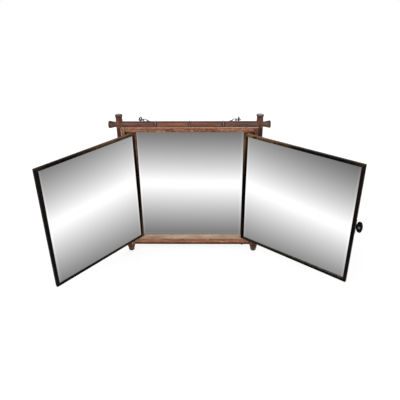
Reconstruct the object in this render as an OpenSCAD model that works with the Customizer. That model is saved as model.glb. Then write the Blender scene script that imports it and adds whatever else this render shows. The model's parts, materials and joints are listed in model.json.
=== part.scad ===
// Triptych wall mirror: a shallow wooden case between two turned posts and a cross rail,
// with a fixed mirror at its back and two metal-edged wing mirrors that fold over it.
// X runs to the right, Y into the wall and Z up. The origin is on the wall face,
// in the middle of the case. The wings are drawn standing open.

/* [Case] */
// Width of the case over its side boards
case_w = 294; // [260:1:340]
// Depth from the wall to the front edges of the boards
case_d = 26.5; // [26:0.5:34]
// Height of the case's top surface above the centre
case_up = 148.5; // [120:0.5:180]
// Depth of the case's underside below the centre
case_down = 154.5; // [130:0.5:180]
// Thickness of the side boards
side_t = 8.5; // [7:0.5:12]
// Thickness of the top board
top_t = 10.5; // [8:0.5:14]
// Thickness of the bottom board
bottom_t = 18.3; // [12:0.1:22]
// Radius on the bottom board's lower front edge
bottom_round = 4; // [1:0.5:7]
// Thickness of the back panel
panel_t = 4; // [3:0.5:6]
// Distance of the back panel's edge inside the case's edge
panel_inset = 0.5; // [0.2:0.1:1]
// Width of the rebate that holds the fixed mirror
rebate_w = 3.5; // [2.5:0.1:4]
// Gap left round the fixed mirror in its rebate
rebate_slack = 0.3; // [0.1:0.1:0.8]
// Thickness of the fixed mirror's glass
glass_t = 3; // [2:0.5:4]
// Thickness of the paperboard behind the fixed mirror
backing_t = 1.5; // [1:0.1:2]

/* [Posts and rail] */
// Distance between the axes of the posts, beyond the case's width
post_spread = 6; // [4:0.5:10]
// Distance from the wall to the axes of the posts and the rail
cane_axis_d = 18; // [16:0.5:19]
// Radius of a post
post_r = 7.25; // [6.5:0.05:9]
// Radius of the disc that tops a post
cap_r = 8; // [7.5:0.1:10]
// Height of the straight edge of that disc
cap_edge = 2; // [1:0.1:3]
// Radius of the neck under the disc
neck_r = 6.9; // [5:0.1:7.1]
// Distance from the disc's edge down to the neck
neck_drop = 4; // [3:0.5:8]
// Height of a post above the case's top surface
post_rise = 26.5; // [22:0.5:35]
// Length of a post's foot below the case
foot_drop = 20; // [18:0.5:40]
// Radius of the swelling in a foot
foot_r = 8.8; // [7.5:0.1:10]
// Height of that swelling above the foot's end
foot_swell_up = 13.5; // [8:0.5:14]
// Radius at a foot's end
foot_tip_r = 7; // [5:0.1:8]
// Radius of the groove turned above the foot
groove_r = 6.2; // [5:0.1:6.5]
// Radius of the rail
rail_r = 6.8; // [6:0.1:7]
// Depth planed off the rail where it lies on the case
rail_flat = 2.1; // [0.5:0.1:3]
// Length of the rail's end beyond a post's axis
rail_out = 23; // [16:0.5:30]
// Radius of the knob at the rail's end
rail_cap_r = 8; // [7.5:0.1:10]
// Radius of the rail's stub between post and knob
stub_r = 5.9; // [5:0.1:6.5]
// Distance between the knuckles turned on the rail
knuckle_step = 72.4; // [50:0.2:100]
// Width of a knuckle
knuckle_w = 5; // [3:0.5:8]
// Height of a knuckle above the rail
knuckle_h = 0.6; // [0.2:0.1:1]

/* [Wings] */
// Distance of each hinge axis inside the case's side board
pivot_in = 17.5; // [12:0.5:25]
// Distance from the wall to the left wing's hinge axis
left_pivot_d = 15.4; // [15:0.1:17]
// Distance between the two hinge axes, front to back
pivot_step = 8.1; // [7.6:0.1:9]
// Gap between the left wing's edge and the right hinge tube when folded
left_tip_gap = 0.5; // [0.3:0.1:3]
// Gap between the right wing's edge and the left side board when folded
right_tip_gap = 1; // [0.6:0.1:3]
// Thickness of a wing over its metal edging
wing_t = 6.6; // [5.5:0.1:6.8]
// Width of the edging's face
edge_w = 6.2; // [4:0.1:9]
// Thickness of the edging's sheet metal
edge_wall = 0.8; // [0.5:0.1:1]
// Radius of the hinge tube
tube_r = 3.3; // [3:0.1:3.4]
// Width of the wing's face at the hinge, from the axis
stile_w = 6.5; // [5:0.1:9]
// Gap between a wing and the top board
wing_top_gap = 3.6; // [1.5:0.1:6]
// Thickness of the washer under a hinge tube
washer_t = 1.2; // [0.8:0.1:2.5]
// Running gap between a washer and its hinge tube
washer_gap = 0.2; // [0.1:0.1:0.5]
// Thickness of the glass in the wings
wing_glass_t = 3; // [2:0.5:3.5]
// Angle of the left wing to the case, as it stands open
left_open = 50.5; // [45:0.5:90]
// Angle of the right wing to the case, as it stands open
right_open = 37.5; // [27:0.5:90]
// Radius of the hinge pins
pin_r = 1.5; // [1.2:0.1:2]
// Running clearance round a hinge pin
pin_play = 0.08; // [0.02:0.01:0.1]
// Length of pin inside a hinge tube
pin_reach = 8; // [5:0.5:15]
// Radius of a hinge pin's head
pin_head_r = 2.6; // [2.2:0.1:3]
// Thickness of a hinge pin's head
pin_head_t = 1.2; // [0.8:0.1:2]

/* [Catch] */
// Height of the catch's pivot above the centre
catch_z = -0.8; // [-60:0.1:60]
// Distance of the catch's pivot beyond the wing's edge
catch_out = 6.1; // [5.2:0.1:10]
// Thickness of the iron lug
lug_t = 1.6; // [1:0.1:2.5]
// Width of the lug's foot on the wing
lug_foot_w = 5.9; // [5:0.1:8]
// Half length of the lug's foot
lug_foot_half = 15.5; // [15:0.5:22]
// Radius of the lug's nose
lug_nose_r = 5; // [4:0.1:6]
// Distance of the lug's rivets from the pivot's height
lug_rivet_up = 12.4; // [12:0.1:18]
// Half width of the turn button
button_half_w = 6.35; // [5:0.05:8]
// Half length of the turn button
button_half_l = 12.5; // [10:0.1:12.8]
// Thickness of the turn button
button_t = 1.6; // [1:0.1:2.5]
// Running gap on each face of the turn button
button_gap = 0.2; // [0.1:0.05:0.3]
// Radius of the rivets
rivet_r = 1.2; // [0.9:0.1:1.5]
// Radius of a rivet's head
rivet_head_r = 2.4; // [2:0.1:2.8]
// Height of a rivet's head
rivet_head_h = 1; // [0.6:0.1:1.5]
// Width of the keeper's feet on the post
keeper_w = 5.8; // [5:0.1:5.9]
// Width of the keeper's bridge, at the outer side of its feet
keeper_bridge_w = 2.7; // [2:0.1:2.8]
// Thickness of the keeper strap
keeper_t = 1.2; // [0.8:0.1:2]
// Half length of the keeper's bridge
keeper_half = 14.7; // [14.5:0.1:18]
// Length of each foot of the keeper
keeper_foot = 7; // [6:0.5:10]
// Gap between the turned button and the keeper's bridge
keeper_gap = 0.4; // [0.2:0.1:1]
// Depth pared off the post under the keeper
keeper_seat = 0.75; // [0.4:0.05:1.5]

/* [Chain] */
// Distance from the centre to each screw eye
eye_x = 105.5; // [90:0.5:112]
// Distance from the wall to the screw eyes
eye_d = 9.9; // [9.5:0.1:10]
// Height of an eye's ring above the case
eye_up = 14; // [13:0.5:18]
// Radius to the middle of an eye's wire
eye_r = 3.7; // [3.5:0.1:3.9]
// Radius of an eye's wire
eye_wire_r = 1.2; // [0.8:0.05:1.25]
// Turn of the left eye about its shank
left_eye_turn = 32; // [0:1:34]
// Turn of the right eye about its shank
right_eye_turn = 12; // [0:1:20]
// Length of an eye's shank inside the top board
eye_bite = 6; // [4:0.5:7]
// Length of a link
link_l = 12; // [11.5:0.1:14]
// Width of a link
link_w = 6.6; // [6.4:0.1:7]
// Radius of a link's wire
link_wire_r = 0.75; // [0.6:0.05:0.8]
// Play between two links
link_play = 0.1; // [0.05:0.05:0.4]
// Links in each slope down from an eye
slope_links = 3; // [3:1:5]

/* [Nails] */
// Radius of the nails and brads
nail_r = 0.8; // [0.5:0.1:1]
// Radius of a nail's head
nail_head_r = 1.5; // [1.2:0.1:2]
// Thickness of a nail's head
nail_head_t = 0.7; // [0.4:0.1:1]
// Length of the case nails
case_nail_l = 26; // [20:1:40]
// Length of the back panel's nails
panel_nail_l = 14; // [8:1:18]
// Length of the nails through a post
post_nail_l = 17.5; // [14:0.5:18]
// Length of the nails through the rail
rail_nail_l = 17; // [14:0.5:18]
// Length of the pin through a crossing
cross_pin_l = 12.5; // [9:0.5:13]
// Height of the post nails above and below the centre
post_nail_up = 95; // [40:1:110]
// Distance of the rail nails from the centre
rail_nail_x = 36; // [20:1:60]
// Distance between the back panel's nails
panel_nail_step = 92; // [60:1:110]

/* [Hidden] */
$fn = 48;
// Overrun of a cut past the face it opens
cut = 1;

// Case
case_half = case_w / 2;
inner_half = case_half - side_t;
front_y = -case_d;
board_back_y = -panel_t;
rebate_y = board_back_y - backing_t - glass_t;
soffit_z = case_up - top_t;
floor_z = -case_down + bottom_t;
mirror_half = inner_half + rebate_w - rebate_slack;
mirror_low = floor_z - rebate_w + rebate_slack;
mirror_high = soffit_z + rebate_w - rebate_slack;
// Middle of the board edge left behind the rebate
rim = (side_t - rebate_w) / 2;
panel_nail_z = case_up - rim;
panel_nail_low_z = rim - case_down;
case_nail_y = [rebate_y + nail_head_r, -cane_axis_d];

// Posts and rail
post_x = (case_w + post_spread) / 2;
cane_y = -cane_axis_d;
post_top = case_up + post_rise;
foot_end = -case_down - foot_drop;
rail_z = case_up + rail_r - rail_flat;
rail_end = post_x + rail_out;
foot_round = 3;
// Drop from the case to the middle of the groove above the foot, and to the groove's upper edge
groove_drop = 2;
groove_edge = 1;
// Half width of the flat crest on a foot's swelling
swell_flat = 0.75;
cap_dome = 1;
curve_steps = 6;
big = 4 * post_r;

// Wings
pivot_x = inner_half - pivot_in;
left_y = -left_pivot_d;
right_y = -left_pivot_d - pivot_step;
left_w = sqrt(pow(2 * pivot_x, 2) + pow(pivot_step, 2)) - tube_r - left_tip_gap;
right_w = pivot_x + inner_half - right_tip_gap;
wing_high = soffit_z - wing_top_gap;
wing_low = floor_z + washer_t + washer_gap;
wing_half_t = wing_t / 2;
inside_t = wing_half_t - edge_wall;
tube_gap = 0.1;
glass_slack = 0.3;
glass_back = wing_glass_t - inside_t;
// The glass lips run this far inside the tube
lip_bite = 2.2;
washer_r = tube_r;

// Catch
lug_face = wing_half_t + lug_t;
button_face = lug_face + button_gap;
button_top = button_face + button_t;
pivot_u = right_w + catch_out;
lug_rivet_u = right_w - lug_foot_w / 2;
rivet_fit = 0.03;
keeper_seat_y = cane_y - post_r + keeper_seat;
keeper_low_y = right_y - button_top - keeper_gap;
keeper_top_y = keeper_low_y - keeper_t;
keeper_screw_up = keeper_half + keeper_foot / 2;
keeper_screw_l = 9;
// The button is an ellipse with fuller sides and narrower ends
side_fullness = 0.7;
end_fullness = 1.2;

// Chain
eye_y = -eye_d;
eye_z = case_up + eye_up;
link_mid_r = link_w / 2 - link_wire_r;
link_straight = link_l - link_w;
// Turn of the first link about the rings, from straight back
link_turn = -50;
// Clear space between a link's inner wire and the axis of the rings
axis_gap = 0.15;
link_off = axis_gap + link_wire_r + link_mid_r;
chain_y = eye_y + link_off * cos(link_turn);
hung_z = eye_z + link_off * sin(link_turn);
lie_gap = 0.1;
lying_z = case_up + link_mid_r * max(abs(sin(link_turn)), abs(cos(link_turn))) + link_wire_r + lie_gap;
drop = hung_z - lying_z;
first_link_in = 1.2;
chain_span = 2 * (eye_x - first_link_in);
link_pitch_max = link_l - 4 * link_wire_r - link_play;
slope_run_max = sqrt(pow(slope_links * link_pitch_max, 2) - pow(drop, 2));
// The lying links are an odd number, so that both end links lie the same way
lying_links = 2 * ceil((chain_span - link_pitch_max - 2 * slope_run_max) / link_pitch_max / 2 - 0.5) + 1;
// Pitch at which the whole chain just spans the eyes
steps_flat = lying_links + 1;
pitch_a = pow(steps_flat, 2) - 4 * pow(slope_links, 2);
pitch_b = steps_flat * chain_span;
pitch_c = pow(chain_span, 2) + 4 * pow(drop, 2);
link_pitch = (pitch_b - sqrt(pow(pitch_b, 2) - pitch_a * pitch_c)) / pitch_a;
slope_run = sqrt(pow(slope_links * link_pitch, 2) - pow(drop, 2)) / slope_links;
slope_angle = asin(drop / (slope_links * link_pitch));
lying_half = lying_links * link_pitch / 2;

// A block between two opposite corners
module block(low, high) {
    translate(low)
        cube(high - low);
}

// A copy on each side of the case
module both_sides() {
    children();
    mirror([1, 0, 0])
        children();
}

// A height between two values, on a smooth curve
function smooth(a, b, t) = a + (b - a) * (1 - cos(180 * t)) / 2;

// Points of a smooth change of radius between two heights
function curve(r0, z0, r1, z1) =
    [for (s = [0:curve_steps]) [smooth(r0, r1, s / curve_steps), z0 + (z1 - z0) * s / curve_steps]];

// A nail along +Z, its head's top at the origin
module nail(length, grow = 0) {
    translate([0, 0, -nail_head_t])
        cylinder(h = nail_head_t + (grow > 0 ? cut : 0), r = nail_head_r + grow);
    translate([0, 0, -length])
        cylinder(h = length - nail_head_t + (grow > 0 ? nail_head_t : 0), r = nail_r + grow);
}

// Case nails at the two right corners, driven in from the side
module case_nail_set(grow = 0) {
    for (z = [(case_up + mirror_high) / 2, (floor_z - case_down) / 2])
        for (y = case_nail_y)
            translate([case_half, y, z])
                rotate([0, 90, 0])
                    nail(case_nail_l, grow);
}

// Back panel nails, driven in from behind
module panel_nail_set(grow = 0) {
    for (s = [-1, 0, 1]) {
        for (x = [-1, 1])
            translate([x * (case_half - rim), 0, s * panel_nail_step])
                rotate([-90, 0, 0])
                    nail(panel_nail_l, grow);
        for (z = [panel_nail_z, panel_nail_low_z])
            translate([s * panel_nail_step, 0, z])
                rotate([-90, 0, 0])
                    nail(panel_nail_l, grow);
    }
}

// Nails through the right post into the side board
module post_nail_set(grow = 0) {
    for (s = [-1, 1])
        translate([post_x + post_r, cane_y, s * post_nail_up])
            rotate([0, 90, 0])
                nail(post_nail_l, grow);
}

// Nails through the rail into the top board
module rail_nail_set(grow = 0) {
    for (s = [-1, 1])
        translate([s * rail_nail_x, cane_y, rail_z + rail_r])
            nail(rail_nail_l, grow);
}

// Pin through the right crossing, driven in from the front
module cross_pin_set(grow = 0) {
    translate([post_x, cane_y - post_r, rail_z])
        rotate([90, 0, 0])
            nail(cross_pin_l, grow);
}

// Hinge pin along +Z through a board, its head flush with the board's outer face
module hinge_pin(length, grow = 0, over = 0) {
    cylinder(h = length, r = pin_r + grow);
    translate([0, 0, -over])
        cylinder(h = pin_head_t + over, r = pin_head_r + grow);
}

// The four hinge pins
module hinge_pin_set(grow = 0, over = 0) {
    for (p = [[-pivot_x, left_y], [pivot_x, right_y]]) {
        translate([p[0], p[1], -case_down])
            hinge_pin(case_down + wing_low + pin_reach, grow, over);
        translate([p[0], p[1], case_up])
            rotate([180, 0, 0])
                hinge_pin(case_up - wing_high + pin_reach, grow, over);
    }
}

// The shank of each screw eye
module eye_shank(grow = 0) {
    translate([eye_x, eye_y, case_up - eye_bite])
        cylinder(h = eye_bite + eye_up - eye_r, r = eye_wire_r + grow);
}

// Rebate for the fixed mirror
module rebate() {
    block([-inner_half - rebate_w, rebate_y, floor_z - rebate_w],
          [inner_half + rebate_w, board_back_y + cut, soffit_z + rebate_w]);
}

module case_top() {
    color("sienna")
        difference() {
            block([-inner_half, front_y, soffit_z], [inner_half, board_back_y, case_up]);
            rebate();
            hinge_pin_set(rivet_fit, cut);
            both_sides() {
                eye_shank(rivet_fit);
                case_nail_set(rivet_fit);
            }
            rail_nail_set(rivet_fit);
            panel_nail_set(rivet_fit);
        }
}

module case_bottom() {
    color("sienna")
        difference() {
            block([-inner_half, front_y, -case_down], [inner_half, board_back_y, floor_z]);
            difference() {
                block([-case_half, front_y - cut, -case_down - cut],
                      [case_half, front_y + bottom_round, bottom_round - case_down]);
                translate([0, front_y + bottom_round, bottom_round - case_down])
                    rotate([0, 90, 0])
                        cylinder(h = case_w + cut, r = bottom_round, center = true);
            }
            rebate();
            hinge_pin_set(rivet_fit, cut);
            both_sides()
                case_nail_set(rivet_fit);
            panel_nail_set(rivet_fit);
        }
}

// A side board, drawn on the right
module side_board() {
    difference() {
        block([inner_half, front_y, -case_down], [case_half, board_back_y, case_up]);
        rebate();
        case_nail_set(rivet_fit);
        panel_nail_set(rivet_fit);
        post_nail_set(rivet_fit);
    }
}

module case_left() {
    color("peru")
        mirror([1, 0, 0])
            side_board();
}

module case_right() {
    color("peru")
        side_board();
}

module centre_mirror() {
    color("lightsteelblue")
        block([-mirror_half, rebate_y, mirror_low], [mirror_half, rebate_y + glass_t, mirror_high]);
}

module centre_backing() {
    color("dimgray")
        block([-mirror_half, rebate_y + glass_t, mirror_low], [mirror_half, board_back_y, mirror_high]);
}

module back_panel() {
    color("tan")
        difference() {
            block([panel_inset - case_half, -panel_t, panel_inset - case_down],
                  [case_half - panel_inset, 0, case_up - panel_inset]);
            panel_nail_set(rivet_fit);
        }
}

module panel_nails() {
    color("gray")
        panel_nail_set();
}

module case_nails() {
    color("gray")
        both_sides()
            case_nail_set();
}

// A whole post on the right, before it is fitted to the case and the rail
module post_blank() {
    neck_z = post_top - cap_dome - cap_edge - neck_drop;
    crossing_z = rail_z + rail_r;
    groove_z = -case_down - groove_drop;
    swell_z = foot_end + foot_swell_up;
    tip = [for (a = [0:15:90]) [foot_tip_r - foot_round * (1 - sin(a)),
                                foot_end + foot_round * (1 - cos(a))]];
    cap = [for (a = [0:30:90]) [cap_r - cap_dome + cap_dome * cos(a),
                                post_top - cap_dome * (1 - sin(a))]];
    translate([post_x, cane_y, 0])
        rotate_extrude()
            polygon(concat([[0, foot_end]], tip,
                           curve(foot_tip_r, foot_end + foot_round + cap_dome, foot_r, swell_z - swell_flat),
                           curve(foot_r, swell_z + swell_flat, groove_r, groove_z),
                           [[post_r, -case_down + groove_edge]],
                           curve(post_r, crossing_z, neck_r, neck_z),
                           curve(neck_r, neck_z + cap_dome, cap_r, post_top - cap_dome - cap_edge),
                           cap, [[0, post_top]]));
}

// The whole rail, before it is fitted to the case and the posts
module rail_blank() {
    stub_x = post_x + post_r;
    knob_x = rail_end - cap_edge - cap_dome;
    half_band = knuckle_w / 2;
    groove = knuckle_h / 2;
    knuckle = [for (k = [-1:1]) each [
        [rail_r, k * knuckle_step - 2 * half_band],
        [rail_r - groove, k * knuckle_step - half_band],
        [rail_r + knuckle_h, k * knuckle_step - half_band / 2],
        [rail_r + knuckle_h, k * knuckle_step + half_band / 2],
        [rail_r - groove, k * knuckle_step + half_band],
        [rail_r, k * knuckle_step + 2 * half_band]]];
    half_end = concat(curve(rail_r, post_x - post_r, stub_r, stub_x),
                      curve(stub_r, stub_x + cap_dome, rail_cap_r, knob_x),
                      [for (a = [0:30:90]) [rail_cap_r - cap_dome + cap_dome * cos(a),
                                            rail_end - cap_dome * (1 - sin(a))]],
                      [[0, rail_end]]);
    other_end = [for (i = [len(half_end) - 1:-1:0]) [half_end[i][0], -half_end[i][1]]];
    translate([0, cane_y, rail_z])
        rotate([0, 90, 0])
            rotate_extrude()
                polygon(concat(other_end, knuckle, half_end));
}

// Everything in front of the canes' axes, or behind them
module half_space(side) {
    block([-rail_end - cut, side < 0 ? cane_y - big : cane_y, foot_end - cut],
          [rail_end + cut, side < 0 ? cane_y : cane_y + big, post_top + cut]);
}

// A post, drawn on the right: whole in front of the rail and let into it behind
module post() {
    difference() {
        post_blank();
        block([case_half - big, cane_y - big, -case_down], [case_half, cane_y + big, case_up]);
        intersection() {
            rail_blank();
            half_space(1);
        }
        post_nail_set(rivet_fit);
        cross_pin_set(rivet_fit);
    }
}

module post_left() {
    color("saddlebrown")
        difference() {
            mirror([1, 0, 0])
                post();
            block([-post_x - big, keeper_seat_y - big, catch_z - keeper_half - keeper_foot],
                  [-post_x + big, keeper_seat_y, catch_z + keeper_half + keeper_foot]);
            keeper_screw_holes();
        }
}

module post_right() {
    color("saddlebrown")
        post();
}

module rail() {
    color("brown")
        difference() {
            rail_blank();
            block([-case_half, cane_y - big, case_up - big], [case_half, cane_y + big, case_up]);
            both_sides() {
                intersection() {
                    post_blank();
                    half_space(-1);
                }
                cross_pin_set(rivet_fit);
            }
            rail_nail_set(rivet_fit);
        }
}

module cross_pins() {
    color("gray")
        both_sides()
            cross_pin_set();
}

module post_nails() {
    color("gray")
        both_sides()
            post_nail_set();
}

module rail_nails() {
    color("gray")
        rail_nail_set();
}

module hinge_pins() {
    color("darkgoldenrod")
        hinge_pin_set();
}

module hinge_washers() {
    color("goldenrod")
        for (p = [[-pivot_x, left_y], [pivot_x, right_y]])
            translate([p[0], p[1], floor_z])
                difference() {
                    cylinder(h = washer_t, r = washer_r);
                    translate([0, 0, -cut])
                        cylinder(h = washer_t + 2 * cut, r = pin_r + pin_play);
                }
}

// Width of a wing, from its hinge axis to its free edge
function wing_w(side) = side == "left" ? left_w : right_w;

// Places a wing that is drawn along +X from its hinge axis, its back towards +Y
module place_wing(side) {
    if (side == "left")
        translate([-pivot_x, left_y, 0])
            mirror([1, 0, 0])
                rotate([0, 0, -left_open])
                    children();
    else
        translate([pivot_x, right_y, 0])
            rotate([0, 0, -right_open])
                children();
}

// The tube and the two lips that hold the glass along the hinge
module hinge_stile(side) {
    place_wing(side)
        difference() {
            union() {
                translate([0, 0, wing_low])
                    cylinder(h = wing_high - wing_low, r = tube_r);
                for (y = [-wing_half_t, inside_t])
                    block([tube_r - lip_bite, y, wing_low + edge_w],
                          [stile_w, y + edge_wall, wing_high - edge_w]);
            }
            translate([0, 0, wing_low - cut])
                cylinder(h = wing_high - wing_low + 2 * cut, r = pin_r + pin_play);
        }
}

// The outline of one strip of edging, seen square to the wing, mitred at its ends
function strip_outline(side, place) =
    let (start = tube_r + tube_gap,
         w = wing_w(side),
         inner_w = w - edge_w,
         inner_low = wing_low + edge_w,
         inner_high = wing_high - edge_w)
    place == "top" ? [[start, inner_high], [inner_w, inner_high], [w, wing_high], [start, wing_high]] :
    place == "bottom" ? [[start, wing_low], [w, wing_low], [inner_w, inner_low], [start, inner_low]] :
    [[inner_w, inner_low], [w, wing_low], [w, wing_high], [inner_w, inner_high]];

// One strip of channel edging: the wing's outline, hollow inside, cut to the strip
module edging(side, place) {
    place_wing(side)
        difference() {
            translate([0, wing_half_t, 0])
                rotate([90, 0, 0])
                    linear_extrude(wing_t)
                        polygon(strip_outline(side, place));
            block([-cut, -inside_t, wing_low + edge_wall],
                  [wing_w(side) - edge_wall, inside_t, wing_high - edge_wall]);
            if (side == "right" && place == "outer")
                lug_rivet_set(rivet_fit);
        }
}

// A sheet inside the edging, between two depths
module wing_sheet(side, front, back) {
    block([tube_r + glass_slack, front, wing_low + edge_wall + glass_slack],
          [wing_w(side) - edge_wall - glass_slack, back, wing_high - edge_wall - glass_slack]);
}

module left_hinge_stile() {
    color("darkgoldenrod")
        hinge_stile("left");
}

module right_hinge_stile() {
    color("darkgoldenrod")
        hinge_stile("right");
}

module left_top_edging() {
    color("darkolivegreen")
        edging("left", "top");
}

module left_bottom_edging() {
    color("darkolivegreen")
        edging("left", "bottom");
}

module left_outer_edging() {
    color("darkslategray")
        edging("left", "outer");
}

module right_top_edging() {
    color("darkolivegreen")
        edging("right", "top");
}

module right_bottom_edging() {
    color("darkolivegreen")
        edging("right", "bottom");
}

module right_outer_edging() {
    color("darkslategray")
        edging("right", "outer");
}

module left_mirror() {
    color("lightsteelblue")
        place_wing("left")
            wing_sheet("left", -inside_t, glass_back);
}

module right_mirror() {
    color("lightsteelblue")
        place_wing("right")
            wing_sheet("right", -inside_t, glass_back);
}

module left_backing() {
    color("dimgray")
        place_wing("left")
            wing_sheet("left", glass_back, inside_t);
}

module right_backing() {
    color("dimgray")
        place_wing("right")
            difference() {
                wing_sheet("right", glass_back, inside_t);
                lug_rivet_set(rivet_fit);
            }
}

// A round rivet head, its flat face at the origin and its crown towards +Z
module rivet_head(r, h) {
    rotate_extrude()
        polygon(concat([[0, 0]], [for (a = [0:15:90]) [r * cos(a), h * sin(a)]]));
}

// Turns +Z into the wing's back
module to_back(u, y, z) {
    translate([u, y, z])
        rotate([-90, 0, 0])
            children();
}

// The rivets of the lug, in the wing's own place
module lug_rivet_set(grow = 0) {
    for (s = [-1, 1])
        to_back(lug_rivet_u, glass_back + glass_slack, catch_z + s * lug_rivet_up)
            cylinder(h = lug_face - glass_back - glass_slack, r = rivet_r + grow);
}

module catch_lug() {
    color("black")
        place_wing("right")
            difference() {
                union() {
                    block([right_w - lug_foot_w, wing_half_t, catch_z - lug_foot_half],
                          [right_w, lug_face, catch_z + lug_foot_half]);
                    block([right_w - cut, wing_half_t, catch_z - lug_nose_r],
                          [pivot_u, lug_face, catch_z + lug_nose_r]);
                    to_back(pivot_u, wing_half_t, catch_z)
                        cylinder(h = lug_t, r = lug_nose_r);
                }
                lug_rivet_set(rivet_fit);
                to_back(pivot_u, wing_half_t - cut, catch_z)
                    cylinder(h = lug_t + 2 * cut, r = rivet_r + rivet_fit);
            }
}

module lug_rivets() {
    color("dimgray")
        place_wing("right")
            union() {
                lug_rivet_set();
                for (s = [-1, 1])
                    to_back(lug_rivet_u, lug_face, catch_z + s * lug_rivet_up)
                        rivet_head(rivet_head_r, rivet_head_h);
            }
}

// The turn button: an oval plate, upright as the wing stands open
module turn_button() {
    color("black")
        place_wing("right")
            to_back(pivot_u, button_face, catch_z)
                difference() {
                    linear_extrude(button_t)
                        polygon([for (a = [0:12:348])
                            let (c = cos(a), s = sin(a))
                            [button_half_w * sign(c) * pow(abs(c), side_fullness),
                             button_half_l * sign(s) * pow(abs(s), end_fullness)]]);
                    translate([0, 0, -cut])
                        cylinder(h = button_t + 2 * cut, r = rivet_r + pin_play);
                }
}

module button_rivet() {
    color("dimgray")
        place_wing("right")
            union() {
                to_back(pivot_u, wing_half_t, catch_z)
                    cylinder(h = button_top + button_gap - wing_half_t, r = rivet_r);
                to_back(pivot_u, button_top + button_gap, catch_z)
                    rivet_head(rivet_head_r, rivet_head_h);
                translate([pivot_u, wing_half_t, catch_z])
                    rotate([90, 0, 0])
                        rivet_head(rivet_head_r, rivet_head_h);
            }
}

// Holes for the keeper's screws
module keeper_screw_holes() {
    for (s = [-1, 1])
        translate([-post_x, keeper_seat_y - keeper_t - cut, catch_z + s * keeper_screw_up])
            rotate([-90, 0, 0])
                cylinder(h = keeper_screw_l + cut, r = rivet_r + rivet_fit);
}

// The strap on the left post that the turned button slips under: a bridge that stands on two feet,
// far enough out that the upright button passes it
module keeper() {
    outer_x = -post_x - keeper_w / 2;
    color("black")
        difference() {
            union() {
                block([outer_x, keeper_top_y, catch_z - keeper_half],
                      [outer_x + keeper_bridge_w, keeper_seat_y, catch_z + keeper_half]);
                block([outer_x, keeper_seat_y - keeper_t, catch_z - keeper_half - keeper_foot],
                      [outer_x + keeper_w, keeper_seat_y, catch_z + keeper_half + keeper_foot]);
            }
            block([outer_x - cut, keeper_low_y, catch_z - keeper_half + keeper_t],
                  [outer_x + keeper_w + cut, keeper_seat_y + cut, catch_z + keeper_half - keeper_t]);
            keeper_screw_holes();
        }
}

module keeper_screws() {
    color("dimgray")
        for (s = [-1, 1])
            translate([-post_x, keeper_seat_y - keeper_t, catch_z + s * keeper_screw_up]) {
                rotate([-90, 0, 0])
                    cylinder(h = keeper_screw_l, r = rivet_r);
                rotate([90, 0, 0])
                    rivet_head(rivet_head_r, rivet_head_h);
            }
}

module screw_eyes() {
    color("dimgray")
        both_sides()
            eye_shank();
    color("dimgray")
        for (eye = [[-eye_x, left_eye_turn], [eye_x, right_eye_turn]])
            translate([eye[0], eye_y, eye_z])
                rotate([0, 90, -eye[1]])
                    rotate_extrude()
                        translate([eye_r, 0])
                            circle(eye_wire_r);
}

// One link, long along X and flat in the XY plane
module link() {
    for (s = [-1, 1])
        translate([0, s * link_mid_r, 0])
            rotate([0, 90, 0])
                cylinder(h = link_straight, r = link_wire_r, center = true);
    for (s = [0, 180])
        rotate([0, 0, s])
            translate([link_straight / 2, 0, 0])
                rotate([0, 0, -90])
                    rotate_extrude(angle = 180)
                        translate([link_mid_r, 0])
                            circle(link_wire_r);
}

// Place of link i: the distance along X, the height and the slope of its middle
function link_x(i) =
    i == 0 ? chain_span / 2 :
    i <= slope_links ? lying_half + (slope_links - i + 0.5) * slope_run :
    lying_half - (i - slope_links - 0.5) * link_pitch;
function link_height(i) =
    i == 0 ? hung_z :
    i <= slope_links ? lying_z + drop * (slope_links - i + 0.5) / slope_links :
    lying_z;
function link_slope(i) = i == 0 || i > slope_links ? 0 : -slope_angle;

// Link i, counted from the right eye and turned a quarter from its neighbours
module place_link(i) {
    translate([link_x(i), chain_y, link_height(i)])
        rotate([0, link_slope(i), 0])
            rotate([link_turn + 90 * (i % 2), 0, 0])
                link();
}

module end_links() {
    color("darkgray")
        both_sides()
            place_link(0);
}

module chain_links() {
    color("gray")
        both_sides()
            for (i = [1:slope_links])
                place_link(i);
    color("gray")
        for (i = [slope_links + 1:slope_links + lying_links])
            place_link(i);
}

case_top();
case_bottom();
case_left();
case_right();
centre_mirror();
centre_backing();
back_panel();
panel_nails();
case_nails();
post_left();
post_right();
rail();
cross_pins();
post_nails();
rail_nails();
hinge_pins();
hinge_washers();
left_hinge_stile();
left_top_edging();
left_bottom_edging();
left_outer_edging();
left_mirror();
left_backing();
right_hinge_stile();
right_top_edging();
right_bottom_edging();
right_outer_edging();
right_mirror();
right_backing();
catch_lug();
lug_rivets();
turn_button();
button_rivet();
keeper();
keeper_screws();
screw_eyes();
end_links();
chain_links();
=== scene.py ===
"""The finished look of a triptych wall mirror: stained wood, bronzed edging and three silvered glasses."""

import json
import math

import bmesh
import bpy
from mathutils import Matrix, Vector, noise


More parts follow.
